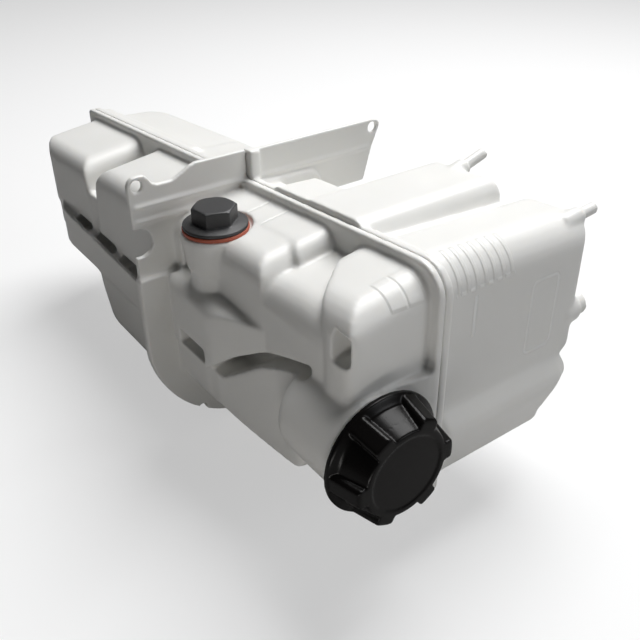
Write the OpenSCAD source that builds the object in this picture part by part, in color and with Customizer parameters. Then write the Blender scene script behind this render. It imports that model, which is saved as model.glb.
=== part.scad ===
// Coolant expansion tank of a truck: two welded half shells, a screw filler cap with
// pressure and vacuum valves, and a sealed level plug.
// X runs along the tank, the front half shell is on -Y, the rear half shell is on +Y, Z is up.
// All forms are drawn from the weld plane y = 0 and the bracket plate's face x = 0, and then
// moved so that the origin lies midway between the two holes of the bracket plate.

/* [Tank body] */
// Wall thickness of both half shells
wall = 3.6; // [2.8:0.2:4.4]
// Far end of the tank, left of the bracket plate
far_x = -286; // [-300:2:-270]
// Near end of the tank, right of the bracket plate
near_x = 202; // [198:1:210]
// Depth of the front half shell from the weld plane
front_depth = 63; // [60:1:66]
// Depth of the rear half shell from the weld plane
rear_depth = 133; // [128:1:138]
// Height of the tank's top at the weld plane, above the bracket plate's face line
top_z = 4.5; // [2:0.5:7]
// Rise of the top along the tank, in degrees
top_rise = 4.4; // [3:0.2:5]
// Fall of the front shell's top away from the weld, in degrees
front_fall = 8; // [6:0.5:10]
// Fall of the rear shell's top away from the weld, in degrees
rear_fall = 3; // [2:0.5:5]
// Bottom of the near half of the tank
near_bottom = -136; // [-142:1:-130]
// Bottom of the sump beside the bracket plate
sump_bottom = -176; // [-182:1:-168]

/* [Weld flange] */
// How far the weld flange stands proud of the shells
flange_out = 6; // [4:0.5:8]
// Thickness of the weld flange on each half shell
flange_half = 5.5; // [4:0.5:7]

/* [Bracket plate] */
// Thickness of the bracket plate
plate_t = 4; // [3:0.5:5]
// Distance from the weld plane to the front hole
hole_front_y = 85.5; // [82:0.5:88]
// Distance from the weld plane to the rear hole
hole_rear_y = 113.5; // [110:0.5:116]
// Height of both holes
hole_z = 24.6; // [22:0.2:26]
// Diameter of the bracket plate's holes
hole_d = 8.4; // [6.5:0.1:9]
// Top of the bracket plate beside the weld
plate_top = 31; // [30:0.5:33]

/* [Filler neck and cap] */
// Distance of the filler axis from the weld plane
filler_y = 47.5; // [47:0.5:49]
// Height of the filler axis
filler_z = -76.5; // [-78:0.5:-75]
// How far the filler neck's mouth stands beyond the near end
neck_out = 25; // [23:1:28]
// Bore diameter of the filler neck
neck_bore_d = 48; // [44:1:50]
// Wall of the filler neck
neck_wall = 6; // [5:0.5:6.5]
// Diameter of the cap's back rim
cap_rim_d = 80; // [78:1:81]
// Diameter over the grips at the cap's face
cap_face_d = 69; // [67:1:71]
// Length of the cap's skirt below the neck's mouth
cap_skirt = 17; // [14:1:18]
// Height of the cap's face above the neck's mouth
cap_face_h = 8; // [7.5:0.5:9]
// Number of grips round the cap
grips = 6; // [5:1:8]
// Width of one grip
grip_w = 13; // [10:1:15]

/* [Level plug] */
// Distance of the plug axis from the bracket plate's face
plug_x = 41; // [39:1:44]
// Distance of the plug axis from the weld plane
plug_y = 51; // [49:1:53]
// Bore diameter of the plug neck
plug_bore_d = 32; // [28:1:33]
// Diameter of the plug neck's rim
plug_rim_d = 47.5; // [45:0.5:49]
// Diameter of the plug's flange
plug_flange_d = 44; // [41:0.5:45]
// Width of the plug's hexagon across its flats
plug_hex = 27; // [24:1:30]
// Length of the plug's shank
plug_shank = 15; // [12:1:17]

/* [Hose spigots] */
// Outer diameter of the two vent spigots
spigot_d = 8.2; // [7.6:0.2:9]
// Bore diameter of the two vent spigots
spigot_bore = 5; // [4:0.2:5.6]
// Outer diameter of the lower hose stub
stub_d = 17; // [15:0.5:18]

/* [Hidden] */
$fn = 64;
arc_step = 15;          // angle of one step of a moulded edge's rounding
fit = 0.08;             // radial clearance of a shank or plug in its bore
gap = 0.3;              // clearance between faces that pass each other
eps = 0.5;              // overlap of solids that are cut from each other
rise = tan(top_rise);
mid_y = (hole_rear_y - hole_front_y) / 2;
clip_x = 330;           // half sizes of the blocks that part the front shell from the rear shell
clip_y = 200;
white = [0.95, 0.95, 0.93];
black = [0.08, 0.08, 0.08];
charcoal = [0.16, 0.16, 0.16];
brick = [0.66, 0.30, 0.22];
steel = [0.72, 0.73, 0.75];
rubber_black = [0.12, 0.12, 0.13];
front_bottom = near_bottom + 4;     // bottom of the front shell's near half
plug_shelf_z = -40;     // top of the shelf under the plug neck
plug_neck_r = plug_bore_d / 2 + 3.4;
plug_collar_h = 27;
plug_room = 60;         // height kept free over the plug's shank
high_depth = rear_depth - 14;       // rear face of the high box
valley_depth = rear_depth - 12;
lower_depth = rear_depth - 21;      // rear wall below the boxes
strip_depth = 15.5;     // wide strip behind the flange at the far end
high_spigot = [95, high_depth - 19, 12];
near_spigot = [188, rear_depth - 15, 10];
stub = [193, rear_depth - 12, -54];
high_up = 17;           // angles by which the vent spigots rise
near_up = 6;
spigot_base = 2.4;      // how much thicker the moulded bases are than what they carry
high_base = 24;         // lengths of the bases and of the spigots and the stub
high_l = 44;
near_base = 17;
near_l = 32;
stub_base = 14;
stub_l = 22;
pockets = [[-198, -168], [-156, -118], [-108, -66]];    // stiffening pockets along the tank
pocket_bottom = -90;
pocket_deep = 16.5;
short_slot = [23, 58];
short_slot_z = [-89, -78];
dome_pocket = [185, 198];
dome_pocket_z = [-21, -1];
slot_back = -46;        // how far the long slot reaches towards the weld
slot_end = 162;
neck_mouth_x = near_x + neck_out;
neck_length = neck_out + 5;
bore_in = 30;           // how far the filler bore reaches into the tank
neck_root_r = 34;       // round root of the filler neck
neck_root_l = 55;
plate_edge = 92.5;      // front edge of the bracket plate, from the weld plane
rear_rib = [3, 102, 2]; // rib on the bracket plate's rear half
drill = 20;             // half length of a bore through the plate
notch = [-56.5, -172];  // open notch in the round lower flange
notch_r = 3.6;
notch_h = 18;
lower_flange_r = 91;    // round lower flange of the bracket plate
neck_r = neck_bore_d / 2 + neck_wall;
cap_taper = atan((cap_rim_d - cap_face_d) / 2 / (cap_skirt + cap_face_h));
cap_face_r = cap_face_d / 2 - 5.5;  // face of the cap between the grips
cap_floor_r = cap_face_d / 2 + 0.2; // floor of the pockets beside the rim
grip_edge = 3;
grip_turn = 32.7;
rim_h = 3.5;
core_r = neck_r - 1;
core_flange = 2.8;
gasket_h = 1.6;
barrel_r = neck_bore_d / 2 - 0.6;
barrel_bore_r = barrel_r - 4.4;
barrel_l = 24;          // length of the valve barrel below the neck's mouth
seat_h = 3;
seat_r = 8;
groove_r = barrel_r - 1.9;
groove_w = 3.4;
ring_gap = 0.1;         // room behind the seal ring in its groove
vent_r = 2.5;
vent_up = 14;           // height of the side vents above the barrel's end
seal_s = 14.3;
seal_wire = 1.15;
retainer_s = 1.4;
disc_s = -barrel_l + seat_h;
disc_h = 2.6;
coil_r = 10.5;
coil_wire = 0.9;
stem_r = 1.6;
stem_top = -12;
plug_seal_h = 2.6;
plug_seal_d = 45.2;
plug_flange_z = 5;
plug_top = 17;
plug_wall = 4;
hex_turn = 10;

// Height of the shells' top at the weld plane, at a place along the tank
function top_at(x) = top_z + rise * x;

// Rounded outlines: every corner of a polygon is replaced by an arc between its tangent points
function unit(v) = v / norm(v);
function corner(p, i) =
    let (n = len(p), a = unit(p[(i + n - 1) % n] - p[i]), b = unit(p[(i + 1) % n] - p[i]))
    [a, b, acos(a * b) / 2];
function centre_of(p, i, r) = let (c = corner(p, i)) p[i] + unit(c[0] + c[1]) * r / sin(c[2]);
function tangents(p, i, r) =
    let (c = corner(p, i), t = r / tan(c[2])) [p[i] + c[0] * t, p[i] + c[1] * t];
function turn(a) = a > 180 ? a - 360 : a < -180 ? a + 360 : a;
function arc_at(p, i, r) =
    let (c = centre_of(p, i, r), t = tangents(p, i, r), a = atan2(t[0].y - c.y, t[0].x - c.x),
         s = turn(atan2(t[1].y - c.y, t[1].x - c.x) - a), n = max(2, ceil(abs(s) / arc_step)))
    [for (k = [0 : n]) c + r * [cos(a + s * k / n), sin(a + s * k / n)]];
function inset(p, g) = [for (i = [0 : len(p) - 1]) centre_of(p, i, g)];
module round_poly(p, r)
    polygon([for (i = [0 : len(p) - 1], q = r[i] > 0 ? arc_at(p, i, r[i]) : [p[i]]) q]);

// An outline is [points, radii]; shrink insets it by g, which gives the cavity of a walled form
function shrink(o, g) = g == 0 ? o : [inset(o[0], g), [for (r = o[1]) max(r - g, 0)]];

// Side elevation of a block on the side s of the weld (-1 front, 1 rear)
function side_of(s, depth, z_bottom, off, fall, r_top, r_bottom) =
    [[[-s * 20, z_bottom], [s * depth, z_bottom], [s * depth, top_z + off - depth * tan(fall)],
      [-s * 20, top_z + off + 20 * tan(fall)]], [0, r_bottom, r_top, 0]];

// Front elevation of a block whose top follows the rise of the tank
function elevation(x0, x1, z_bottom, off, r0, r1, lean0 = 0, lean1 = 0) =
    [[[x0 - lean0, z_bottom], [x0, top_at(x0) + off], [x1, top_at(x1) + off], [x1 + lean1, z_bottom]],
     [0, r0, r1, 0]];

// Plan of a block on the side s of the weld
function plan_of(s, x0, x1, depth, r0, r1) =
    [[[x0, -s * 20], [x0, s * depth], [x1, s * depth], [x1, -s * 20]], [0, r0, r1, 0]];

// One form of a shell: rounded in plan and in both elevations, its top falling away from the weld
module form(plan, front, side, fall, tilt, g) {
    p = shrink(plan, g);
    f = shrink(front, g);
    d = shrink(side, g);
    intersection() {
        translate([0, 0, -clip_y]) linear_extrude(2 * clip_y) round_poly(p[0], p[1]);
        rotate([fall, 0, 0]) translate([0, clip_y, 0]) rotate([90, 0, 0]) linear_extrude(2 * clip_y)
            round_poly(f[0], f[1]);
        rotate([0, -tilt, 0]) translate([-clip_x, 0, 0]) rotate([90, 0, 90]) linear_extrude(2 * clip_x)
            round_poly(d[0], d[1]);
    }
}

// An upper form of the front shell, with its top at the weld flange's lower edge
module front_top(x0, x1, depth, z_bottom, r0, r1, rp0, rp1, r_front, lean0, lean1, g, off = 0)
    form(plan_of(-1, x0 - max(lean0, 0), x1 + max(lean1, 0), depth, rp0, rp1),
         elevation(x0, x1, z_bottom, off, r0, r1, lean0, lean1),
         side_of(-1, depth, z_bottom - 30, off, front_fall, r_front, 0), front_fall, top_rise, g);

// A lower form of the front shell with a level bottom
module front_low(points, radii, depth, z_bottom, z_top, rp0, rp1, r_top, r_bottom, g) {
    x = [for (q = points) q[0]];
    form(plan_of(-1, min(x), max(x), depth, rp0, rp1), [points, radii],
         [[[20, z_bottom], [-depth, z_bottom], [-depth, z_top], [20, z_top]], [0, r_bottom, r_top, 0]],
         0, 0, g);
}

// Everything that bounds the coolant in the front shell; g is the inset of the cavity
module front_forms(g) {
    // Far box, with the wide corner at the tank's end
    front_top(far_x, -170, front_depth, -70, 20, 15, 42, 8, 16, 0, 14, g);
    // Near box beside the bracket plate
    front_top(-142, 9, front_depth, -70, 15, 0, 8, 0, 16, 14, 0, g, -0.6);
    // Wall under the groove between the two boxes
    front_low([[far_x + 3, -104], [far_x + 3, -44], [10, -40], [10, -104]], [0, 8, 0, 0],
              front_depth - 1, -104, -20, 40, 0, 0, 0, g);
    // Skirt in front of the stiffening pockets, and the sump under it
    front_low([[-254, -110], [-254, -73], [10, -86], [10, -110]], [14, 6, 0, 0],
              front_depth + 7, -112, -60, 40, 0, 0, 0, g);
    front_low([[-166, -88], [-128, sump_bottom + 8], [-4, sump_bottom + 8], [-4, -88]], [0, 16, 6, 0],
              front_depth + 6, sump_bottom + 8, -60, 20, 8, 0, 22, g);
    // Box behind the level plug, and its arm between the bracket plate and the plug
    front_top(-14, 112, 34, -110, 0, 12, 0, 10, 8, 0, 10, g, 0.2);
    front_top(-12, 19, 58, -46, 0, 9, 0, 12, 14, 0, 0, g, -6);
    // Box to the right of the level plug
    front_top(44, 108, front_depth - 2, -75, 0, 14, 0, 14, 16, 0, 16, g, -0.4);
    // Floor of the saddle, and the walls below it
    front_top(98, 176, front_depth - 2.6, -70, 0, 0, 0, 0, 19, 0, 0, g, -12);
    front_low([[62, -100], [62, -50], [100, -20], [178, -20], [178, -100]],
              [0, 10, 0, 0, 0], front_depth - 2.2, -101, -19, 8, 8, 0, 8, g);
    front_low([[20, near_bottom + 2], [20, -70], [176, -62], [176, near_bottom + 2]], [0, 0, 10, 10],
              front_depth - 9, near_bottom + 2, -58, 8, 18, 12, 8, g);
    // Shelf that carries the plug neck and runs out to the right
    form([[[4, 20], [4, -plug_y - 27], [68, -plug_y - 27], [116, -front_depth + 3], [120, 20]],
          [0, 14, 24, 8, 0]],
         [[[4, -92], [4, plug_shelf_z], [118, plug_shelf_z], [118, -58], [60, -92]], [0, 8, 6, 0, 0]],
         [[[20, -110], [-plug_y - 27, -110], [-plug_y - 27, plug_shelf_z], [20, plug_shelf_z]],
          [0, 0, 9, 0]], 0, 0, g);
    // Body under the slots
    front_low([[4.6, front_bottom - 1], [4.6, -90], [66, -90], [66, front_bottom - 1]], [6, 5, 0, 0],
              front_depth + 12, front_bottom - 1, -90.5, 10, 14, 2, 20, g);
    form([[[52, 20], [52, -front_depth - 10.6], [68, -front_depth - 10.6], [156, -front_depth + 2.4],
           [160, 20]], [0, 0, 20, 16, 0]],
         [[[52, front_bottom], [52, -98], [111, -64.5], [132, -54.5], [162, -45], [152, front_bottom]],
          [0, 0, 0, 0, 2, 16]],
         [[[20, front_bottom], [-front_depth - 13, front_bottom], [-front_depth - 13, -40], [20, -40]],
          [0, 23, 0, 0]], 0, 0, g);
    // Domed box over the filler neck
    form([[[130, 20], [130, -12], [172, -front_depth], [near_x - 1, -front_depth], [near_x - 1, 20]],
          [0, 30, 30, 8, 0]], elevation(130, near_x - 1, -38, -0.2, 20, 17),
         side_of(-1, front_depth, -68, -0.2, front_fall, 22, 0), front_fall, top_rise, g);
    // Wall behind the filler neck
    front_low([[128, near_bottom], [128, -24], [near_x - 2, -24], [near_x - 2, near_bottom]],
              [0, 0, 0, 12], 40, near_bottom, -22, 8, 8, 0, 12, g);
    // Gusset between the neck's collar and the weld flange
    form([[[150, 20], [150, -41.5], [near_x - 0.4, -41.5], [near_x + 5.6, -9], [near_x + 5.6, 20]],
          [0, 0, 3, 6, 0]],
         [[[150, -99], [150, -42], [near_x + 12, -42], [near_x + 12, -99]], [0, 0, 0, 0]],
         [[[20, -103], [-60, -103], [-60, -41.8], [20, -41.8]], [0, 0, 0, 0]], 0, 0, g);
    // Round root of the filler neck
    translate([148, -filler_y, filler_z]) rotate([0, 90, 0])
        rotate_extrude() round_poly([[0, g], [neck_root_r - g, g], [neck_root_r - g, neck_root_l - g],
                                     [0, neck_root_l - g]], [0, 12, max(6 - g, 1), 0]);
}

// Recesses moulded into the front shell: three stiffening pockets behind the skirt, the seat round
// the plug neck, a short slot under the shelf, a pocket in the domed box and the long wavy slot.
// g is the growth that keeps the wall between a recess and the cavity.
module front_recesses(g) {
    for (p = pockets)
        translate([p[0] - g, -front_depth - 3.5 - g, pocket_bottom - g])
            cube([p[1] - p[0] + 2 * g, pocket_deep + 2 * g, 16.8 - 0.04 * (p[0] + 200) + 2 * g]);
    translate([plug_x, -plug_y, -g]) cylinder(r = plug_rim_d / 2 + 1 + g, h = 40);
    translate([short_slot[0] - g, -front_depth - 40, short_slot_z[0] - g])
        cube([short_slot[1] - short_slot[0] + 2 * g, 57 + g, short_slot_z[1] - short_slot_z[0] + 2 * g]);
    translate([dome_pocket[0] - g, -front_depth - 20, dome_pocket_z[0] - g])
        cube([dome_pocket[1] - dome_pocket[0] + 2 * g, 34 + g, dome_pocket_z[1] - dome_pocket_z[0] + 2 * g]);
    // Long slot: its upper edge, its square end and its lower lip
    translate([0, slot_back + g, 0]) rotate([90, 0, 0]) linear_extrude(60) polygon([
        [61 - g, -90.6 + g], [86.7 - g, -71 + g], [108 - g / 2, -59 + g], [130, -50.5 + 1.2 * g],
        [slot_end + g, -39.8 + 1.3 * g], [slot_end + g, -48.4 - g], [134.4, -56.1 - 1.1 * g],
        [113.8 + g / 2, -64.7 - g], [85.5 + g / 2, -85.8 - g], [72.4, -94.3 - g], [61 - g, -92.6 - g]]);
}

// An upper form of the rear shell; off is the height of its top above the flange's lower edge
module rear_top(x0, x1, depth, z_bottom, off, r0, r1, rp0, rp1, r_rear, lean0, lean1, g, fall = rear_fall)
    form(plan_of(1, x0 - max(lean0, 0), x1 + max(lean1, 0), depth, rp0, rp1),
         elevation(x0, x1, z_bottom, off, r0, r1, lean0, lean1),
         side_of(1, depth, z_bottom - 30, off, fall, r_rear, 0), -fall, top_rise, g);

// A lower form of the rear shell with a level bottom
module rear_low(points, radii, depth, z_bottom, z_top, rp0, rp1, r_top, r_bottom, g) {
    x = [for (q = points) q[0]];
    form(plan_of(1, min(x), max(x), depth, rp0, rp1), [points, radii],
         [[[-20, z_bottom], [depth, z_bottom], [depth, z_top], [-20, z_top]], [0, r_bottom, r_top, 0]],
         0, 0, g);
}

// Everything that bounds the coolant in the rear shell
module rear_forms(g) {
    // Wide strip behind the flange at the far end, and the boxes beyond the bracket plate
    rear_top(far_x + 2, -97, strip_depth, -79, flange_out - 0.4, 6, 0, 4, 0, 3, 0, 0, g);
    rear_top(far_x + 4, -92, 68, -80, 0, 18, 14, 52, 12, 14, 0, 4, g);
    rear_top(-112, 6, 62, -80, 2, 10, 0, 12, 0, 12, 6, 0, g);
    rear_low([[-254, -110], [-254, -30], [8, -30], [8, -110]], [14, 6, 0, 0],
             76, -112, -26, 44, 0, 8, 12, g);
    rear_low([[-166, -88], [-128, sump_bottom], [-4, sump_bottom], [-4, -88]], [0, 16, 6, 0],
             66, sump_bottom, -60, 22, 8, 0, 22, g);
    // Low form behind the bracket plate, and the raised box beside it
    rear_top(-8, 44, 26, -60, 1, 0, 6, 0, 8, 8, 0, 4, g);
    rear_top(33, 84, 38, -60, 8.5, 7, 0, 8, 0, 7, 0, 0, g);
    // High box with the first vent spigot
    rear_top(71, 134, high_depth, -80.5, 9.4, 9, 13, 12, 12, 8, 4, 14, g, 0.2);
    // Near box with the second vent spigot
    rear_top(146, near_x, rear_depth, -100, 4.5, 10, 22, 9, 9, 9, 0, 0, g);
    // Floor of the valley between the high box and the near box
    rear_top(118, 175, valley_depth, -98, -1.5, 0, 0, 8, 0, 6, 0, 0, g);
    // Wall below the boxes, and the ledge round the bottom
    rear_low([[-8, near_bottom], [-8, -30], [160, -30], [160, near_bottom]], [12, 0, 0, 0],
             lower_depth, near_bottom, -30, 16, 0, 10, 16, g);
    rear_low([[130, near_bottom - 3], [130, -66], [near_x - 2.5, -70], [near_x + 5.4, -104],
              [near_x - 2, near_bottom - 3]], [0, 0, 3, 12, 10],
             rear_depth + 2, near_bottom - 3, -60, 0, 26, 0, 26, g);
}

// Outline of the weld flange in the weld plane
module flange_outline(out) {
    round_poly([[far_x - 2 - out + 4, -118], [far_x - 2 - out + 4, top_at(far_x) + out],
                [near_x + out, top_at(near_x) + out], [near_x + out, near_bottom - out - 2],
                [90, near_bottom - out - 2]], [16, 5, 20, 9, 24]);
    round_poly([[-176, -100], [-134, sump_bottom - out], [6, sump_bottom - out - 4],
                [24, near_bottom - 10], [60, near_bottom - 10], [60, -100]], [0, 20, 12, 0, 0, 0]);
}

module flange(y0, y1) translate([0, y1, 0]) rotate([90, 0, 0]) linear_extrude(y1 - y0)
    flange_outline(flange_out);

// Block that holds everything between two planes across the tank
module between(y0, y1) translate([-clip_x, y0, -clip_y]) cube([2 * clip_x, y1 - y0, 2 * clip_y]);

// Draws a YZ outline as a plate between two places along the tank
module plate(x0, x1) translate([x0, 0, 0]) rotate([90, 0, 90]) linear_extrude(x1 - x0) children();

// A round bore or boss along X, Y or a slanted Y
module along_x(r, l) rotate([0, 90, 0]) cylinder(r = r, h = l);
module along_y(r, l, up = 0) rotate([up - 90, 0, 0]) cylinder(r = r, h = l);

// Front half of the bracket plate, with its ear, its two ribs and the round lower flange
module front_plate() {
    difference() {
        union() {
            plate(-plate_t, 0) difference() {
                union() {
                    round_poly([[-plate_edge, -60], [-plate_edge, plate_top + 0.6],
                                [-78.5, plate_top + 0.6], [-73.5, 23], [-58, 23], [-43, plate_top],
                                [0, plate_top], [0, -60]], [0, 7, 6, 7, 12, 12, 0, 0]);
                }
                translate([-plate_edge + 3.2, -16.6]) circle(10.7);
                translate([-plate_edge - 10, -26.8]) square([10.6, 20.4]);
            }
            plate(-plate_t, 4) {
                intersection() {
                    translate([-4, -98]) circle(lower_flange_r);
                    translate([-plate_edge - 2.1, -200]) square([plate_edge + 2.1, 102.5]);
                }
                translate([-plate_edge - 2.1, -98]) square([plate_edge + 2.1, 54.8]);
            }
            for (z = [10, -0.5]) translate([-1, -plate_edge + 2.5, z - 1]) cube([3, z > 5 ? 90 : 58, 2]);
        }
        translate([-drill, -hole_front_y, hole_z]) along_x(hole_d / 2, 2 * drill);
        // Small open notch in the lower flange
        translate([-drill, notch.x, notch.y]) along_x(notch_r, 2 * drill);
        translate([-drill, notch.x - notch_r, notch.y - notch_h]) cube([2 * drill, 2 * notch_r, notch_h]);
    }
}

// Rear half of the bracket plate
module rear_plate() difference() {
    union() {
        plate(-1, plate_t - 1) {
            round_poly([[2, -60], [2, plate_top], [112, plate_top], [122.5, 29], [113.5, 9], [105.5, -17.5],
                        [60, -17.5], [60, -60]], [0, 0, 6, 4, 12, 3, 0, 0]);
        }
        plate(-plate_t, 6) round_poly([[0, -60], [0, plate_top], [8, plate_top], [8, -60]], [0, 0, 2, 0]);
        plate(-1, plate_t - 1) intersection() {
            translate([4, -98]) circle(lower_flange_r - 4);
            translate([0, -200]) square([76, 154]);
        }
        translate([1, 8, 9]) cube(rear_rib);
    }
    translate([-drill, hole_rear_y, hole_z]) along_x(hole_d / 2, 2 * drill);
}

// Neck of the level plug, with its stepped outside
module plug_neck() translate([plug_x, -plug_y, 0]) rotate_extrude()
    round_poly([[0, plug_shelf_z - 6], [0, 0], [plug_rim_d / 2, 0], [plug_rim_d / 2, -4],
                [plug_rim_d / 2 - 2.6, -plug_collar_h], [0, -plug_collar_h]], [0, 0, 2, 0, 3.5, 0]);

module front_shell() placed() color(white) difference() {
    union() {
        intersection() {
            front_forms(0);
            between(-clip_y, 0);
        }
        flange(-flange_half, 0);
        front_plate();
        plug_neck();
        translate([plug_x, -plug_y, plug_shelf_z - 6]) cylinder(r = plug_neck_r, h = 24);
        // Filler neck with its collar
        translate([neck_mouth_x - neck_length, -filler_y, filler_z]) along_x(neck_r, neck_length);
        translate([near_x - 5, -filler_y, filler_z]) along_x(neck_bore_d / 2 + neck_wall + 4, 8);
    }
    // Cavity, apart from the walls round the recesses
    difference() {
        intersection() {
            front_forms(wall);
            between(-clip_y, eps);
        }
        front_recesses(wall);
        translate([plug_x, -plug_y, plug_shelf_z - 3]) cylinder(r = plug_neck_r, h = plug_room);
    }
    front_recesses(0);
    translate([near_x - bore_in, -filler_y, filler_z]) along_x(neck_bore_d / 2, bore_in + neck_out + eps);
    translate([plug_x, -plug_y, -plug_shank - 4]) cylinder(r = plug_bore_d / 2, h = plug_room);
    translate([plug_x, -plug_y, plug_shelf_z - 20]) cylinder(r = plug_bore_d / 2 - 4, h = 40);
}

// A vent spigot that rises from a round moulded base
module spigot(place, base, l, up) translate(place) {
    along_y(spigot_d / 2 + spigot_base, base, up);
    along_y(spigot_d / 2, l, up);
}

module rear_shell() placed() color(white) difference() {
    union() {
        intersection() {
            rear_forms(0);
            between(0, clip_y);
        }
        flange(0, flange_half);
        rear_plate();
        spigot(high_spigot, high_base, high_l, high_up);
        spigot(near_spigot, near_base, near_l, near_up);
        translate(stub) along_y(stub_d / 2, stub_l);
        translate(stub) along_y(stub_d / 2 + spigot_base, stub_base);
    }
    // Cavity, closed towards the front where the rear shell stands higher than the weld
    difference() {
        intersection() {
            rear_forms(wall);
            between(-eps, clip_y);
        }
        rotate([0, -top_rise, 0]) translate([-clip_x, -wall, top_z - wall + gap])
            cube([2 * clip_x, 2 * wall, 60]);
    }
    translate(high_spigot) along_y(spigot_bore / 2, 60, high_up);
    translate(near_spigot) along_y(spigot_bore / 2, 60, near_up);
    translate([stub.x, stub.y - 8, stub.z]) along_y(stub_d / 2 - 2.5, 50);
}

// Moves a form from the weld and plate planes to the part's own frame
module placed() translate([0, -mid_y, -hole_z]) children();

// Moves a revolved piece, drawn along Z from the neck's mouth, onto the filler axis
module on_filler() placed() translate([neck_mouth_x, -filler_y, filler_z]) rotate([0, 90, 0]) children();

// A ring of rectangular section, drawn along Z
module ring(r0, r1, z0, z1) rotate_extrude() translate([r0, z0]) square([r1 - r0, z1 - z0]);

// A round wire wound into an open coil between two heights
module coil(r, wire, z0, z1, turns) {
    steps = 20;
    sides = 8;
    n = turns * steps;
    polyhedron(
        points = [for (k = [0 : n], j = [0 : sides - 1])
            let (a = 360 * k / steps, q = r + wire * cos(360 * j / sides))
            [q * cos(a), q * sin(a), z0 + wire + (z1 - z0 - 2 * wire) * k / n + wire * sin(360 * j / sides)]],
        faces = concat([[for (j = [0 : sides - 1]) j]],
            [for (k = [0 : n - 1], j = [0 : sides - 1])
                [k * sides + j, (k + 1) * sides + j, (k + 1) * sides + (j + 1) % sides,
                 k * sides + (j + 1) % sides]],
            [[for (j = [sides - 1 : -1 : 0]) n * sides + j]]));
}

// One grip of the cap: a bar with rounded edges that follows the cap's taper
module grip(grow = 0) translate([0, 0, -cap_skirt]) intersection() {
    translate([-60, -60, 0]) cube([120, 120, cap_skirt + cap_face_h]);
    translate([cap_rim_d / 2, 0, 0]) rotate([0, -cap_taper, 0]) translate([0, 0, -20]) linear_extrude(60)
        round_poly([[-22, -grip_w / 2], [0, -grip_w / 2], [0, grip_w / 2], [-22, grip_w / 2]],
                   [0, grip_edge, grip_edge, 0]);
}

// Screw cap: back rim, tapered knob with pockets between the grips, and a slightly sunk face
module cap_shell() on_filler() color(black) difference() {
    union() {
        rotate_extrude() round_poly([[0, -cap_skirt], [cap_rim_d / 2, -cap_skirt],
            [cap_rim_d / 2, -cap_skirt + rim_h], [cap_floor_r, -cap_skirt + rim_h + 3],
            [cap_face_r, cap_face_h], [0, cap_face_h]], [0, 1.2, 1, 3, 1.6, 0]);
        intersection() {
            rotate_extrude() round_poly([[0, -cap_skirt], [cap_rim_d / 2 + 0.4, -cap_skirt],
                [cap_face_d / 2 + 0.4, cap_face_h], [0, cap_face_h]], [0, 1, 3, 0]);
            for (i = [0 : grips - 1]) rotate([0, 0, grip_turn + i * 360 / grips]) grip();
        }
    }
    // Skirt that passes over the neck, and the seat of the core's flange above the snap bead
    translate([0, 0, -cap_skirt - eps]) cylinder(r = neck_r + 1, h = cap_skirt + eps + 0.3);
    cylinder(r = core_r - 0.4, h = 2);
    translate([0, 0, gasket_h - fit]) cylinder(r = core_r + fit, h = core_flange + 2 * fit);
    translate([0, 0, cap_face_h - 0.8]) cylinder(r = cap_face_r - 4, h = 2);
}

// Valve carrier: a flange under the cap, a barrel down the neck and a seat for the pressure disc
module cap_core() on_filler() color(charcoal) difference() {
    union() {
        translate([0, 0, gasket_h]) cylinder(r = core_r, h = core_flange);
        translate([0, 0, -barrel_l]) cylinder(r = barrel_r, h = barrel_l + gasket_h + eps);
    }
    translate([0, 0, -barrel_l + seat_h]) cylinder(r = barrel_bore_r, h = barrel_l + 20);
    translate([0, 0, -barrel_l - eps]) cylinder(r = seat_r, h = seat_h + 2 * eps);
    ring(groove_r, barrel_r + eps, -seal_s - groove_w / 2, -seal_s + groove_w / 2);
    for (i = [0 : 3]) rotate([0, 90, i * 90 + 45]) translate([barrel_l - vent_up, 0, 0])
        cylinder(r = vent_r, h = 2 * barrel_r);
}

module cap_gasket() on_filler() color(rubber_black) ring(barrel_r + 1.1, core_r - 0.7, 0, gasket_h);

module cap_seal_ring() on_filler() color(rubber_black) translate([0, 0, -seal_s]) rotate_extrude()
    translate([groove_r + seal_wire + ring_gap, 0]) circle(seal_wire, $fn = 32);

// Perforated disc that closes the barrel and carries the pressure spring
module spring_retainer() on_filler() color(charcoal) difference() {
    translate([0, 0, retainer_s]) cylinder(r = barrel_bore_r - 0.05, h = 3);
    for (i = [0 : 5]) rotate([0, 0, i * 60]) translate([5.5, 0, retainer_s - 1]) cylinder(r = 2, h = 6);
}

module pressure_disc() on_filler() color(brick) difference() {
    union() {
        translate([0, 0, disc_s]) cylinder(r = seat_r + 4, h = disc_h);
        translate([0, 0, disc_s]) cylinder(r = coil_r - 1.5, h = disc_h + 1);
    }
    translate([0, 0, disc_s - 1]) cylinder(r = stem_r + 0.5, h = 10);
    translate([0, 0, disc_s + disc_h]) cylinder(r = 4, h = 4);
}

module pressure_spring() on_filler() color(steel) coil(coil_r, coil_wire, disc_s + disc_h, retainer_s, 5);

// Mushroom valve that hangs in the pressure disc and opens inward
module vacuum_valve() on_filler() color(steel) {
    translate([0, 0, disc_s - 2]) cylinder(r = seat_r - 2.5, h = 2);
    translate([0, 0, disc_s - 0.5]) cylinder(r = stem_r, h = stem_top - disc_s + 0.5);
    translate([0, 0, stem_top]) cylinder(r = stem_r + 1.8, h = 1);
}

module vacuum_spring() on_filler() color(steel)
    coil(stem_r + 1, 0.35, disc_s + disc_h, stem_top, 4);

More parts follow.
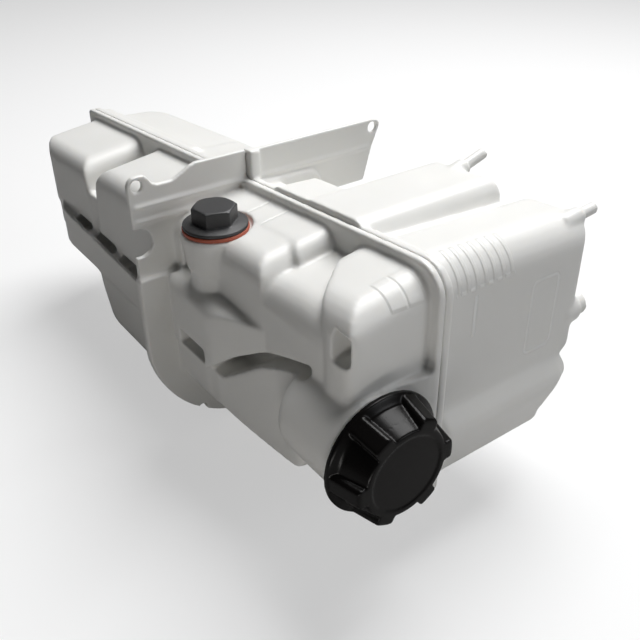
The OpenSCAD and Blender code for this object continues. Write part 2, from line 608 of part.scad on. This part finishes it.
// Level plug: hexagon with chamfered corners, a coned washer face and a shank in the plug neck
module level_plug() placed() translate([plug_x, -plug_y, 0]) color(charcoal) difference() {
    union() {
        intersection() {
            translate([0, 0, plug_flange_z]) rotate([0, 0, hex_turn])
                cylinder(d = plug_hex / cos(30), h = plug_top - plug_flange_z, $fn = 6);
            rotate_extrude() polygon([[0, 0], [plug_hex, 0], [plug_hex, plug_top - 6],
                [plug_hex / 2 - 0.3, plug_top], [0, plug_top]]);
        }
        rotate_extrude() round_poly([[0, plug_seal_h], [plug_flange_d / 2, plug_seal_h],
            [plug_flange_d / 2, plug_flange_z], [plug_hex / 2 + 2.4, plug_flange_z + 1.6],
            [0, plug_flange_z + 1.6]], [0, 0.6, 0.8, 0.8, 0]);
        translate([0, 0, -plug_shank]) cylinder(d = plug_bore_d - 2 * fit, h = plug_shank + plug_seal_h + eps);
    }
    translate([0, 0, -plug_shank - eps]) cylinder(d = plug_bore_d - 2 * plug_wall, h = plug_shank);
}

module plug_seal() placed() translate([plug_x, -plug_y, 0]) color(brick) rotate_extrude()
    round_poly([[plug_bore_d / 2 + 0.6, 0], [plug_seal_d / 2, 0], [plug_seal_d / 2, plug_seal_h],
                [plug_bore_d / 2 + 0.6, plug_seal_h]], [0, 0.8, 0.8, 0]);

front_shell();
rear_shell();
cap_shell();
cap_core();
cap_gasket();
cap_seal_ring();
spring_retainer();
pressure_disc();
pressure_spring();
vacuum_valve();
vacuum_spring();
level_plug();
plug_seal();
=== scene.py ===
import bpy
import numpy as np
from mathutils import Matrix, Vector


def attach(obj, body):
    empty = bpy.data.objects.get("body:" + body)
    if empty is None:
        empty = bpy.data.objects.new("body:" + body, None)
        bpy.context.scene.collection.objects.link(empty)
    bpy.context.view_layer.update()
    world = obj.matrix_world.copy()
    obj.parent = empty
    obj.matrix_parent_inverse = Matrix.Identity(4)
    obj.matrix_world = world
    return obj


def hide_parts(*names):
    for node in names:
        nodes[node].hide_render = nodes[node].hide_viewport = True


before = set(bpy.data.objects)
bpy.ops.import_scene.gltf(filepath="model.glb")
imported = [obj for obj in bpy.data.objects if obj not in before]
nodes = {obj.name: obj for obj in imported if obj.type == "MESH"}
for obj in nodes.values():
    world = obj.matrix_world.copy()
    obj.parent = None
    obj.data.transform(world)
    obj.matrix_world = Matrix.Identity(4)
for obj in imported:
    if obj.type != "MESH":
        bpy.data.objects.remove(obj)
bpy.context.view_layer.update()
print("frame loaded:", len(nodes), "nodes")


def selectOnly(obj):
    bpy.ops.object.select_all(action="DESELECT")
    obj.select_set(True)
    bpy.context.view_layer.objects.active = obj


def applyAll(obj):
    selectOnly(obj)
    for modifier in list(obj.modifiers):
        bpy.ops.object.modifier_apply(modifier=modifier.name)


mergeWithin = 0.00001        # corners of a node's triangles closer than this are one


def copyOf(nodeName, newName):
    # a copy of the node's mesh with its doubles merged, free to be remeshed
    source = nodes[nodeName]
    obj = bpy.data.objects.new(newName, source.data.copy())
    bpy.context.scene.collection.objects.link(obj)
    selectOnly(obj)
    bpy.ops.object.mode_set(mode="EDIT")
    bpy.ops.mesh.select_all(action="SELECT")
    bpy.ops.mesh.remove_doubles(threshold=mergeWithin)
    bpy.ops.object.mode_set(mode="OBJECT")
    return obj


def pointsOf(obj):
    flat = np.empty(len(obj.data.vertices) * 3, np.float32)
    obj.data.vertices.foreach_get("co", flat)
    return flat.reshape(-1, 3)


weightSteps = 25             # a vertex group takes its weights in this many steps


def setWeights(obj, groupName, weights):
    group = obj.vertex_groups.new(name=groupName)
    steps = np.clip(np.round(weights * weightSteps).astype(int), 0, weightSteps)
    for step in range(1, weightSteps + 1):
        members = np.nonzero(steps == step)[0]
        if len(members):
            group.add(members.tolist(), step / weightSteps, "REPLACE")


def remesh(obj, voxel):
    modifier = obj.modifiers.new("skin", "REMESH")
    modifier.mode = "VOXEL"
    modifier.voxel_size = voxel
    applyAll(obj)


def smooth(obj, times, groupName=""):
    modifier = obj.modifiers.new("melt", "SMOOTH")
    modifier.factor = 0.5
    modifier.iterations = times
    modifier.vertex_group = groupName
    applyAll(obj)


def trianglesOf(obj):
    return sum(len(polygon.vertices) - 2 for polygon in obj.data.polygons)


def thin(obj, most):
    triangles = trianglesOf(obj)
    if triangles > most:
        modifier = obj.modifiers.new("thin", "DECIMATE")
        modifier.ratio = most / triangles
        applyAll(obj)
    print(obj.name, "triangles:", trianglesOf(obj))


def shade(obj):
    selectOnly(obj)
    bpy.ops.object.shade_smooth()


def dress(obj, material):
    obj.data.materials.clear()
    obj.data.materials.append(material)


skinSettings = {
    "mottleScale": 22,       # broad unevenness, in cells per metre
    "mottleSpread": 0.5,     # how far it shifts the colour, up and down
    "rough": (0.3, 0.44),    # roughness where no other is set
    "grainHeight": 0.0002,
}


def skinGroup(s):
    # moulded plastic: a faint mottling, a fine grain and a soft unevenness of the surface
    group = bpy.data.node_groups.new("mouldedSkin", "ShaderNodeTree")
    for name, kind in (("Colour", "NodeSocketColor"), ("Mottle", "NodeSocketFloat"),
                       ("Grain size", "NodeSocketFloat"), ("Grain depth", "NodeSocketFloat")):
        group.interface.new_socket(name=name, in_out="INPUT", socket_type=kind)
    for name, kind in (("Colour", "NodeSocketColor"), ("Roughness", "NodeSocketFloat"),
                       ("Normal", "NodeSocketVector")):
        group.interface.new_socket(name=name, in_out="OUTPUT", socket_type=kind)
    add, link = group.nodes.new, group.links.new
    inside, outside = add("NodeGroupInput"), add("NodeGroupOutput")
    place = add("ShaderNodeTexCoord")
    broad = add("ShaderNodeTexNoise")
    broad.inputs["Scale"].default_value = s["mottleScale"]
    broad.inputs["Detail"].default_value = 3
    link(place.outputs["Object"], broad.inputs["Vector"])
    fine = add("ShaderNodeTexNoise")
    fine.inputs["Detail"].default_value = 2
    link(place.outputs["Object"], fine.inputs["Vector"])
    link(inside.outputs["Grain size"], fine.inputs["Scale"])
    shift = add("ShaderNodeMapRange")
    shift.inputs["To Min"].default_value = -s["mottleSpread"]
    shift.inputs["To Max"].default_value = s["mottleSpread"]
    link(broad.outputs["Fac"], shift.inputs["Value"])
    amount = add("ShaderNodeMath")
    amount.operation = "MULTIPLY"
    link(shift.outputs["Result"], amount.inputs[0])
    link(inside.outputs["Mottle"], amount.inputs[1])
    value = add("ShaderNodeMath")
    value.operation = "ADD"
    value.inputs[1].default_value = 1
    link(amount.outputs[0], value.inputs[0])
    tint = add("ShaderNodeHueSaturation")
    link(inside.outputs["Colour"], tint.inputs["Color"])
    link(value.outputs[0], tint.inputs["Value"])
    link(tint.outputs["Color"], outside.inputs["Colour"])
    rough = add("ShaderNodeMapRange")
    rough.inputs["To Min"].default_value, rough.inputs["To Max"].default_value = s["rough"]
    link(broad.outputs["Fac"], rough.inputs["Value"])
    link(rough.outputs["Result"], outside.inputs["Roughness"])
    bump = add("ShaderNodeBump")
    bump.inputs["Distance"].default_value = s["grainHeight"]
    link(inside.outputs["Grain depth"], bump.inputs["Strength"])
    link(fine.outputs["Fac"], bump.inputs["Height"])
    link(bump.outputs["Normal"], outside.inputs["Normal"])
    return group


skin = skinGroup(skinSettings)


reliefSettings = {
    "edge": 0.0011,          # softness of every relief line
    "light": 0.6,            # how much paler the raised lines are painted: a painted highlight where light catches them
    "endFaceX": 0.196,       # lines on the near end lie beyond this
    # ribs over the near box's end
    "ribFirst": 0.0022,      # y of the first rib
    "ribStep": 0.0073,
    "ribs": 7,
    "ribWidth": 0.0016,
    "ribRoom": 0.002,        # past the first and the last rib
    "ribEndX": 0.183,        # where the ribs fade out on the top
    "ribEndZ": -0.0245,      # where they end on the end face
    "ribFoot": (0.198, 0.0006, 0.0011),            # broken line at their ends: least x, half width, gap
    "frame": (0.0795, -0.0654, 0.0120, 0.0268),    # label frame: centre y and z, half width, half height
    "frameLine": 0.0005,     # its half width
    "frameCorner": 0.004,
    "upright": (0.0165, 0.0008),         # low rib beside the flange: its y and half width
    "uprightZ": (-0.0575, -0.030),
    # raised fields on the domed box
    "domeTop": (-0.0205, 0.002),         # least z, and its softness
    "domeEnd": (0.179, 0.0025),          # least x, and its softness
    "domeRear": -0.0195,                 # greatest y
    "fields": ((-0.0455, -0.0360), (-0.0333, -0.0235)),
    "fieldEdge": 0.0015,
    "fieldHeight": 0.8,      # against the other lines
    # two grooves across the box beside the plug
    "grooveY": (-0.0440, -0.0190),
    "grooveZ": -0.030,
    "grooveEndX": 0.08,
    "grooves": (0.0400, 0.0630),
    "grooveLine": 0.0006,    # half width of each
}


def reliefGroup(s):
    # height of the moulded relief: ribs, a plain frame and a rib on the near end, two grooves and
    # the raised fields on the domed box; and a mask of painted highlight on the raised lines
    group = bpy.data.node_groups.new("mouldedRelief", "ShaderNodeTree")
    for name in ("Height", "Painted highlight"):
        group.interface.new_socket(name=name, in_out="OUTPUT", socket_type="NodeSocketFloat")
    add, link = group.nodes.new, group.links.new
    outside = add("NodeGroupOutput")
    place, split = add("ShaderNodeTexCoord"), add("ShaderNodeSeparateXYZ")
    link(place.outputs["Object"], split.inputs[0])
    x, y, z = split.outputs["X"], split.outputs["Y"], split.outputs["Z"]

    def calc(operation, a, b=None, clamp=False):
        node = add("ShaderNodeMath")
        node.operation = operation
        node.use_clamp = clamp
        for slot, value in ((0, a), (1, b)):
            if isinstance(value, (int, float)):
                node.inputs[slot].default_value = value
            elif value is not None:
                link(value, node.inputs[slot])
        return node.outputs[0]

    def step(value, low, soft=s["edge"]):
        # 0 below low, 1 above low + soft
        return calc("DIVIDE", calc("SUBTRACT", value, low), soft, True)

    def between(value, low, high, soft=s["edge"]):
        return calc("MULTIPLY", step(value, low - soft, soft), calc("SUBTRACT", 1, step(value, high, soft)))

    def line(value, middle, half):
        return calc("SUBTRACT", 1, step(calc("ABSOLUTE", calc("SUBTRACT", value, middle)), half))

    def times(*values):
        total = values[0]
        for value in values[1:]:
            total = calc("MULTIPLY", total, value)
        return total

    def most(*values):
        total = values[0]
        for value in values[1:]:
            total = calc("MAXIMUM", total, value)
        return total

    # ribs: distance to the nearest one in a row along y
    first, pitch = s["ribFirst"], s["ribStep"]
    row = calc("PINGPONG", calc("SUBTRACT", y, first - pitch), pitch / 2)
    ribY = (first - s["ribRoom"], first + pitch * (s["ribs"] - 1) + s["ribRoom"])
    ribs = times(calc("SUBTRACT", 1, step(row, s["ribWidth"] / 2)), between(y, *ribY),
                 step(x, s["ribEndX"]), step(z, s["ribEndZ"]))
    # the ribs' lower ends stand on a broken line
    footX, footLine, footGap = s["ribFoot"]
    foot = times(line(z, s["ribEndZ"], footLine), between(y, *ribY), step(x, footX), step(row, footGap))
    # label frame: a rounded rectangle in y and z
    cy, cz, halfWidth, halfHeight = s["frame"]
    corner = s["frameCorner"]
    qy = calc("MAXIMUM", calc("SUBTRACT", calc("ABSOLUTE", calc("SUBTRACT", y, cy)), halfWidth - corner), 0)
    qz = calc("MAXIMUM", calc("SUBTRACT", calc("ABSOLUTE", calc("SUBTRACT", z, cz)), halfHeight - corner), 0)
    far = calc("SQRT", calc("ADD", calc("MULTIPLY", qy, qy), calc("MULTIPLY", qz, qz)))
    frameLine = times(line(far, corner, s["frameLine"]), step(x, s["endFaceX"]))
    # low rib beside the flange
    upright = times(line(y, *s["upright"]), between(z, *s["uprightZ"]), step(x, s["endFaceX"]))
    total = most(ribs, foot, frameLine, upright)
    # painted highlight: the foot line, the frame and the low rib are painted paler, as where light catches
    # them
    link(calc("MULTIPLY", most(foot, frameLine, upright), s["light"]), outside.inputs["Painted highlight"])
    # raised fields on the domed box
    onDome = times(step(z, *s["domeTop"]), calc("LESS_THAN", y, s["domeRear"]), step(x, *s["domeEnd"]))
    fields = times(onDome, most(*(between(y, low, high, s["fieldEdge"]) for low, high in s["fields"])))
    total = calc("ADD", total, calc("MULTIPLY", fields, s["fieldHeight"]))
    # two grooves across the box beside the plug
    onBox = times(calc("LESS_THAN", y, s["grooveY"][1]), calc("GREATER_THAN", y, s["grooveY"][0]),
                  step(z, s["grooveZ"]), calc("LESS_THAN", x, s["grooveEndX"]))
    grooves = times(onBox, most(*(line(x, place, s["grooveLine"]) for place in s["grooves"])))
    total = calc("SUBTRACT", total, grooves)
    link(total, outside.inputs["Height"])
    return group


relief = reliefGroup(reliefSettings)


def plastic(name, s):
    material = bpy.data.materials.new(name)
    material.use_nodes = True
    tree = material.node_tree
    shader = tree.nodes["Principled BSDF"]
    inner = tree.nodes.new("ShaderNodeGroup")
    inner.node_tree = skin
    inner.inputs["Colour"].default_value = (*s["colour"], 1)
    inner.inputs["Mottle"].default_value = s["mottle"]
    inner.inputs["Grain size"].default_value = s["grainSize"]
    inner.inputs["Grain depth"].default_value = s["grainDepth"]
    tree.links.new(inner.outputs["Colour"], shader.inputs["Base Color"])
    tree.links.new(inner.outputs["Normal"], shader.inputs["Normal"])
    if "rough" in s:
        shader.inputs["Roughness"].default_value = s["rough"]
    else:
        tree.links.new(inner.outputs["Roughness"], shader.inputs["Roughness"])
    shader.inputs["Metallic"].default_value = s.get("metal", 0)
    shader.inputs["Specular IOR Level"].default_value = s.get("specular", 0.5)
    if "relief" in s:
        height = tree.nodes.new("ShaderNodeGroup")
        height.node_tree = relief
        bump = tree.nodes.new("ShaderNodeBump")
        bump.inputs["Distance"].default_value = s["relief"]
        tree.links.new(height.outputs["Height"], bump.inputs["Height"])
        tree.links.new(inner.outputs["Normal"], bump.inputs["Normal"])
        tree.links.new(bump.outputs["Normal"], shader.inputs["Normal"])
        # painted highlight: the raised lines are mixed towards the pale "line" colour
        pale = tree.nodes.new("ShaderNodeMix")
        pale.data_type = "RGBA"
        pale.inputs["B"].default_value = (*s["line"], 1)
        tree.links.new(height.outputs["Painted highlight"], pale.inputs["Factor"])
        tree.links.new(inner.outputs["Colour"], pale.inputs["A"])
        tree.links.new(pale.outputs["Result"], shader.inputs["Base Color"])
    if "depth" in s:
        shader.inputs["Subsurface Weight"].default_value = s["depth"]
        shader.inputs["Subsurface Radius"].default_value = s["depthColour"]
        shader.inputs["Subsurface Scale"].default_value = s["depthReach"]
    return material


# "line" is the painted highlight colour of the raised lines, "depth" how far light gets into the plastic
tankWhite = plastic("tankWhite", {"colour": (0.80, 0.795, 0.77), "mottle": 0.05, "grainSize": 1400,
                                  "grainDepth": 0.12, "relief": 0.0005, "line": (0.97, 0.97, 0.95),
                                  "depth": 0.12, "depthColour": (1, 0.9, 0.75), "depthReach": 0.004})
capBlack = plastic("capBlack", {"colour": (0.0045, 0.004, 0.0038), "mottle": 0.3, "grainSize": 2200,
                                "grainDepth": 0.08, "rough": 0.24, "specular": 0.14})
plugBlack = plastic("plugBlack", {"colour": (0.030, 0.030, 0.031), "mottle": 0.4, "grainSize": 2600,
                                  "grainDepth": 0.5, "rough": 0.46})
sealRed = plastic("sealRed", {"colour": (0.42, 0.095, 0.05), "mottle": 0.3, "grainSize": 2600,
                              "grainDepth": 0.3, "rough": 0.55})
rubberBlack = plastic("rubberBlack", {"colour": (0.02, 0.02, 0.02), "mottle": 0.3, "grainSize": 2600,
                                      "grainDepth": 0.3, "rough": 0.6})
springSteel = plastic("springSteel", {"colour": (0.55, 0.55, 0.56), "mottle": 0.1, "grainSize": 3000,
                                      "grainDepth": 0.1, "rough": 0.3, "metal": 1})
print("materials ready")


shellSettings = {
    "voxel": 0.00125,        # size of the skin's cells
    "melt": 36,              # how far the moulded edges run together at most
    "sharp": 0.4,            # share of it on the front shell and the near half
    "farX": (-0.06, -0.01),  # where the rear shell goes from the full melt to that share
    "rearFrom": 0.012,       # past the weld plane
    "all": 2,                # smoothing that the crisp parts get too
    "most": 190000,          # triangles kept
    "weldY": -0.014,         # weld plane
    "flange": 0.0068,        # half width of the flange's crisp zone
    "flangeOver": 0.003,     # and of the zone over which it ends
    "plateX": 0.0005,        # middle and half width of the bracket plate's crisp zone
    "plate": 0.0055,
    "plateY": (-0.06, 0.03),     # the plate stands free beyond these, across the tank
    "plateZ": (-0.14, -0.02),    # and below and above these
    "plug": (0.041, -0.065, 0.0262, -0.058),       # plug neck: x, y, radius, least z
    "filler": (-0.0615, -0.1011, 0.0385, 0.199),   # filler neck: y, z, radius, least x
    # share of the melt that each crisp part gets
    "share": {"flange": 0.15, "plate": 0.12, "neck": 0.15, "recess": 0.3, "spigot": 0.1},
    "slotY": -0.058,         # long slot: greatest y
    # its places along the tank, with its upper edge and its lower lip
    "slotX": (0.058, 0.072, 0.086, 0.108, 0.130, 0.164),
    "slotTop": (-0.113, -0.104, -0.093, -0.0815, -0.073, -0.0625),
    "slotLip": (-0.118, -0.121, -0.112, -0.0955, -0.0845, -0.0755),
    # boxes round the other recesses: least and greatest x, y and z
    "recesses": ((-0.202, -0.062, -0.090, -0.060, -0.120, -0.0945),
                 (0.020, 0.061, -0.100, -0.070, -0.117, -0.099),
                 (0.183, 0.202, -0.080, -0.058, -0.048, -0.0235),
                 (0.196, 0.212, -0.060, -0.0195, -0.073, -0.060)),
    # the same round the two vent spigots and the hose stub, open to the outside
    "spigots": ((0.088, 0.102, 0.107, 1, -1, 1), (0.181, 0.195, 0.121, 1, -0.022, 1),
                (0.183, 1, 0.1205, 1, -0.09, -0.068)),
}


def meltWeights(points, s):
    # low on the flange, the bracket plate, necks and spigots, full on the moulded boxes
    x, y, z = points[:, 0], points[:, 1], points[:, 2]
    share = s["share"]

    def inBox(box):
        x0, x1, y0, y1, z0, z1 = box
        return (x > x0) & (x < x1) & (y > y0) & (y < y1) & (z > z0) & (z < z1)

    offWeld = np.abs(y - s["weldY"])
    weight = np.clip((offWeld - s["flange"]) / s["flangeOver"], share["flange"], 1).astype(float)
    onPlate = (np.abs(x - s["plateX"]) < s["plate"]) \
        & ((y < s["plateY"][0]) | (y > s["plateY"][1]) | (z > s["plateZ"][1]) | (z < s["plateZ"][0]))
    weight[onPlate] = np.minimum(weight[onPlate], share["plate"])
    plugX, plugY, plugRadius, plugZ = s["plug"]
    weight[(np.hypot(x - plugX, y - plugY) < plugRadius) & (z > plugZ)] = share["neck"]
    fillerY, fillerZ, fillerRadius, fillerX = s["filler"]
    weight[(np.hypot(y - fillerY, z - fillerZ) < fillerRadius) & (x > fillerX)] = share["neck"]
    inSlot = (y < s["slotY"]) & (x > s["slotX"][0]) & (x < s["slotX"][-1]) \
        & (z < np.interp(x, s["slotX"], s["slotTop"])) & (z > np.interp(x, s["slotX"], s["slotLip"]))
    for recess in (inSlot, *(inBox(box) for box in s["recesses"])):
        weight[recess] = np.minimum(weight[recess], share["recess"])
    for box in s["spigots"]:
        weight[inBox(box)] = share["spigot"]
    # the large roundings at the far end of the rear shell run together most
    atRear = np.interp(x, s["farX"], (1, s["sharp"]))
    return weight * np.where(y > s["weldY"] + s["rearFrom"], atRear, s["sharp"])


footSettings = {
    "from": 0.125,           # where the foot of the near end begins along the tank
    "over": 0.004,           # length over which it begins
    "back": (0.046, 0.106),  # depth at which its rear wall starts to be drawn in, and where it is fully
    # heights, with how far the rear wall is drawn in and how far the near face is brought out there
    "heights": (-0.1636, -0.1576, -0.1496, -0.1366, -0.1286, -0.1226, -0.1166, -0.1086, -0.1068, -0.1046),
    "drawIn": (0.008, 0.019, 0.019, 0.009, 0.003, 0.003, 0.005, 0.009, 0.009, 0),
    "bringOut": (0, 0, 0.0006, 0.0016, 0.0026, 0.0042, 0.0044, 0.0016, 0.0008, 0),
    "faceX": (0.190, 0.008),     # x at which the near face starts to come out, and the length that takes
    "faceY": (-0.0075, 0.003),   # the same across the tank, beside the flange
}


def footOf(obj, s):
    # the near box overhangs the lower body behind, and the lower body steps out from the near face
    points = pointsOf(obj)
    x, y, z = points.T.copy()
    begin = np.clip((x - s["from"]) / s["over"], 0, 1)
    deep = np.clip((y - s["back"][0]) / (s["back"][1] - s["back"][0]), 0, 1)
    points[:, 1] = y - begin * deep * np.interp(z, s["heights"], s["drawIn"])
    (faceX, overX), (faceY, overY) = s["faceX"], s["faceY"]
    out = np.clip((x - faceX) / overX, 0, 1) * np.clip((y - faceY) / overY, 0, 1)
    points[:, 0] = x + out * np.interp(z, s["heights"], s["bringOut"])
    obj.data.vertices.foreach_set("co", points.ravel())
    obj.data.update()


def mouldedShell(nodeName, newName, s):
    obj = copyOf(nodeName, newName)
    remesh(obj, s["voxel"])
    if nodeName == "rear_shell":
        footOf(obj, footSettings)
    setWeights(obj, "soft", meltWeights(pointsOf(obj), s))
    smooth(obj, s["melt"], "soft")
    smooth(obj, s["all"])
    obj.vertex_groups.clear()
    thin(obj, s["most"])
    shade(obj)
    dress(obj, tankWhite)
    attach(obj, "tank")
    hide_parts(nodeName)


mouldedShell("front_shell", "frontShell", shellSettings)
mouldedShell("rear_shell", "rearShell", shellSettings)
print("half shells moulded")


def softPiece(nodeName, newName, body, s, material):
    obj = copyOf(nodeName, newName)
    remesh(obj, s["voxel"])
    smooth(obj, s["melt"])
    thin(obj, s["most"])
    shade(obj)
    dress(obj, material)
    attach(obj, body)
    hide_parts(nodeName)


capSettings = {"voxel": 0.0006, "melt": 4, "most": 120000}
softPiece("cap_shell", "cap", "cap_shell", capSettings, capBlack)

plugSettings = {"voxel": 0.0005, "melt": 2, "most": 60000}
softPiece("level_plug", "levelPlug", "level_plug", plugSettings, plugBlack)

for nodeName, material in (("plug_seal", sealRed), ("cap_core", plugBlack), ("cap_gasket", rubberBlack),
                           ("cap_seal_ring", rubberBlack), ("spring_retainer", plugBlack),
                           ("pressure_disc", sealRed), ("pressure_spring", springSteel),
                           ("vacuum_valve", springSteel), ("vacuum_spring", springSteel)):
    dress(nodes[nodeName], material)
print("cap and plug ready")


floorSettings = {
    "height": -0.2137,       # just under the plate's round lower flange
    "size": 12,
    "colour": (0.38, 0.375, 0.37),   # colour that lights the tank
    "seen": (0.86, 0.86, 0.86),      # colour that the camera sees
    "pale": 0.5,             # share of plain white that the camera sees in it
    "rough": 0.9,
    "specular": 0.1,
}


def paleFloor(s):
    bpy.ops.mesh.primitive_plane_add(size=s["size"], location=(0, 0, s["height"]))
    obj = bpy.context.object
    obj.name = "floor"
    material = bpy.data.materials.new("paleFloor")
    material.use_nodes = True
    tree = material.node_tree
    shader = tree.nodes["Principled BSDF"]
    shader.inputs["Roughness"].default_value = s["rough"]
    shader.inputs["Specular IOR Level"].default_value = s["specular"]
    # the camera sees the floor paler than it lights the tank, and still sees the shadow on it
    path, glow, mix = (tree.nodes.new(kind) for kind in
                       ("ShaderNodeLightPath", "ShaderNodeEmission", "ShaderNodeMixShader"))
    tint = tree.nodes.new("ShaderNodeMix")
    tint.data_type = "RGBA"
    tint.inputs["A"].default_value = (*s["colour"], 1)
    tint.inputs["B"].default_value = (*s["seen"], 1)
    tree.links.new(path.outputs["Is Camera Ray"], tint.inputs["Factor"])
    tree.links.new(tint.outputs["Result"], shader.inputs["Base Color"])
    share = tree.nodes.new("ShaderNodeMath")
    share.operation = "MULTIPLY"
    share.inputs[1].default_value = s["pale"]
    tree.links.new(path.outputs["Is Camera Ray"], share.inputs[0])
    tree.links.new(share.outputs[0], mix.inputs["Fac"])
    tree.links.new(shader.outputs[0], mix.inputs[1])
    tree.links.new(glow.outputs[0], mix.inputs[2])
    tree.links.new(mix.outputs[0], tree.nodes["Material Output"].inputs["Surface"])
    dress(obj, material)


# place, aim, width and height, power in watts and colour of each lamp
lampSettings = {
    "topLight": ((-0.2, 0.75, 1.5), (0, 0, -0.1), (1.2, 1.2), 45, (1, 1, 1)),
    "endLight": ((1.45, 0.7, 0.6), (0.1, 0, -0.1), (0.7, 0.7), 5, (0.95, 0.97, 1)),
    "lowLight": ((0.5, -0.42, -0.19), (0.16, -0.06, -0.15), (0.3, 0.08), 0.6, (1, 0.98, 0.95)),
}


def softLight(name, location, target, size, power, colour):
    lamp = bpy.data.lights.new(name, "AREA")
    lamp.shape = "RECTANGLE"
    lamp.size, lamp.size_y = size
    lamp.energy = power
    lamp.color = colour
    obj = bpy.data.objects.new(name, lamp)
    bpy.context.scene.collection.objects.link(obj)
    obj.location = location
    obj.rotation_euler = (Vector(target) - Vector(location)).to_track_quat("-Z", "Y").to_euler()


worldSettings = {
    "behind": (1, 1, 1, 1),      # background that the camera sees
    "behindStrength": 1.0,
    "fill": (0.93, 0.96, 1, 1),  # faint light from all round
    "fillStrength": 0.04,
}


def studioWorld(s):
    world = bpy.data.worlds.new("studio")
    bpy.context.scene.world = world
    world.use_nodes = True
    tree = world.node_tree
    tree.nodes.clear()
    add, link = tree.nodes.new, tree.links.new
    path, seen, lit = add("ShaderNodeLightPath"), add("ShaderNodeBackground"), add("ShaderNodeBackground")
    seen.inputs["Color"].default_value = s["behind"]
    seen.inputs["Strength"].default_value = s["behindStrength"]
    lit.inputs["Color"].default_value = s["fill"]
    lit.inputs["Strength"].default_value = s["fillStrength"]
    most = add("ShaderNodeMath")
    most.operation = "MAXIMUM"
    link(path.outputs["Is Camera Ray"], most.inputs[0])
    link(path.outputs["Is Transmission Ray"], most.inputs[1])
    mix, out = add("ShaderNodeMixShader"), add("ShaderNodeOutputWorld")
    link(most.outputs[0], mix.inputs["Fac"])
    link(lit.outputs[0], mix.inputs[1])
    link(seen.outputs[0], mix.inputs[2])
    link(mix.outputs[0], out.inputs["Surface"])


paleFloor(floorSettings)
studioWorld(worldSettings)
for name, lamp in lampSettings.items():
    softLight(name, *lamp)
print("stage and light ready")


cameraSettings = {
    "place": (0.47763, -0.29487, 0.21166),
    "right": (0.59102, 0.80661, -0.00858),
    "down": (0.42707, -0.32191, -0.84498),
    "forward": (-0.68433, 0.49573, -0.53473),
    "lens": 45.564,
    "sensor": 36,
    "shiftX": -2 / 640,      # 2 of the picture's 640 pixels
    "nearest": 0.01,
}


def photoCamera(s):
    data = bpy.data.cameras.new("camera")
    data.lens, data.sensor_width = s["lens"], s["sensor"]
    data.shift_x = s["shiftX"]
    data.clip_start = s["nearest"]
    obj = bpy.data.objects.new("camera", data)
    bpy.context.scene.collection.objects.link(obj)
    right, up, back = Vector(s["right"]), -Vector(s["down"]), -Vector(s["forward"])
    turn = Matrix((right, up, back)).transposed()
    obj.matrix_world = Matrix.Translation(s["place"]) @ turn.to_4x4()
    bpy.context.scene.camera = obj


photoCamera(cameraSettings)
bpy.context.scene.view_settings.view_transform = "Standard"
print("camera ready")
